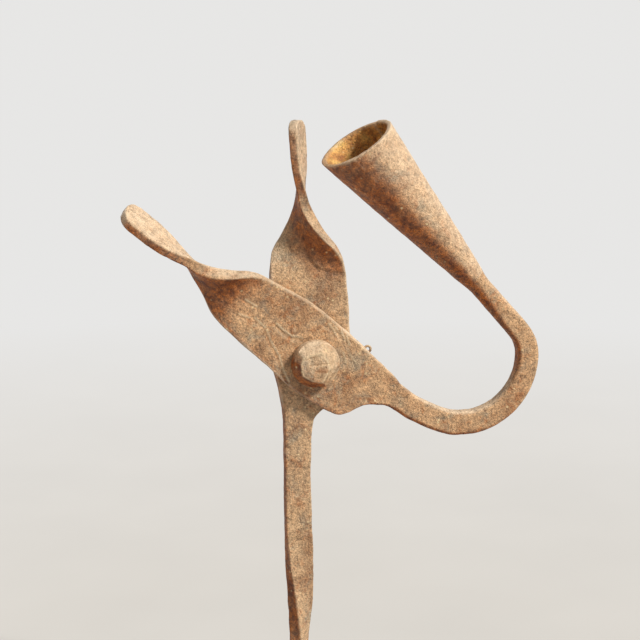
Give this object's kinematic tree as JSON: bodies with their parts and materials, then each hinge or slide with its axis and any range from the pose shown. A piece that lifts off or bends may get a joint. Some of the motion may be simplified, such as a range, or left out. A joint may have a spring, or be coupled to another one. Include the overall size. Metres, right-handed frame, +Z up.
{
  "type": "rushlight holder",
  "caption": "Forged table rushlight holder: fixed and hinged twisted jaws, a hinged arm bent round to a rolled conical candle socket, faceted pivot pin, wooden block.",
  "frame": {"origin": "middle of the wooden block's underside, on the table", "axes": "+Z up along the stem, +X towards the bend of the arm, the viewer of the pin's head at -Y"},
  "size_m": [0.1314, 0.084, 0.2388],
  "materials": {
    "stem_iron": "pitted and rust-browned",
    "arm_iron": "pitted and rust-browned",
    "pin_iron": "hammered, worn bright on the edges",
    "oak": "old, dark and waxed"
  },
  "bodies": {
    "stand": {"wooden_block": "oak", "stem_and_fixed_jaw": "stem_iron", "pivot_pin": "pin_iron", "washer": "pin_iron", "split_pin": "pin_iron"},
    "arm": {"nip_arm_and_socket": "arm_iron"}
  },
  "joints": [
    {"name": "jaw_pivot", "type": "hinge", "parent": "stand", "child": "arm", "pos_m": [0.0042, 0, 0.165], "axis": [0, 1, 0], "range_deg": [-4, 41]}
  ]
}
